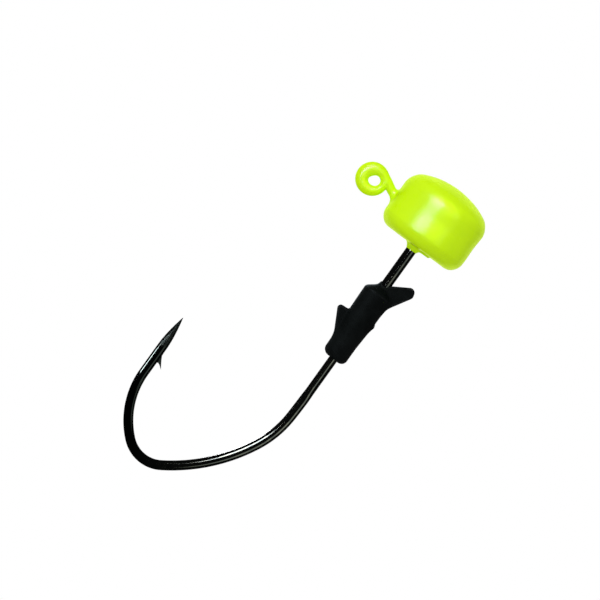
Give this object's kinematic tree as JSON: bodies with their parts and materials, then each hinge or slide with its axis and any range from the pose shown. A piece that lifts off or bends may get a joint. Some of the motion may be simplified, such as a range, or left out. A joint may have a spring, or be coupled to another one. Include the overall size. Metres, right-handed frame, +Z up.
{
  "type": "jig head",
  "caption": "Painted lead mushroom jig head on a 60-degree jig hook with a wide round bend, line eye and black moulded bait keeper.",
  "frame": {"origin": "centre of the line eye, on the axis of its hole and in the plane of the hook", "axes": "+X forward along the shank to the nose of the head, +Y left, along the axis of the eye's hole, +Z up to the side of the eye and the hook's point"},
  "size_m": [0.0366, 0.0084, 0.0181],
  "materials": {
    "black_nickel": "glossy black nickel plating on carbon steel wire",
    "lead": "as cast, dull",
    "chartreuse_paint": "glossy baked powder paint, fluorescent chartreuse",
    "black_plastic": "satin moulded plastic"
  },
  "bodies": {
    "root": {"hook": "black_nickel", "head_weight": "lead", "powder_coat": "chartreuse_paint", "keeper": "black_plastic"}
  },
  "joints": []
}
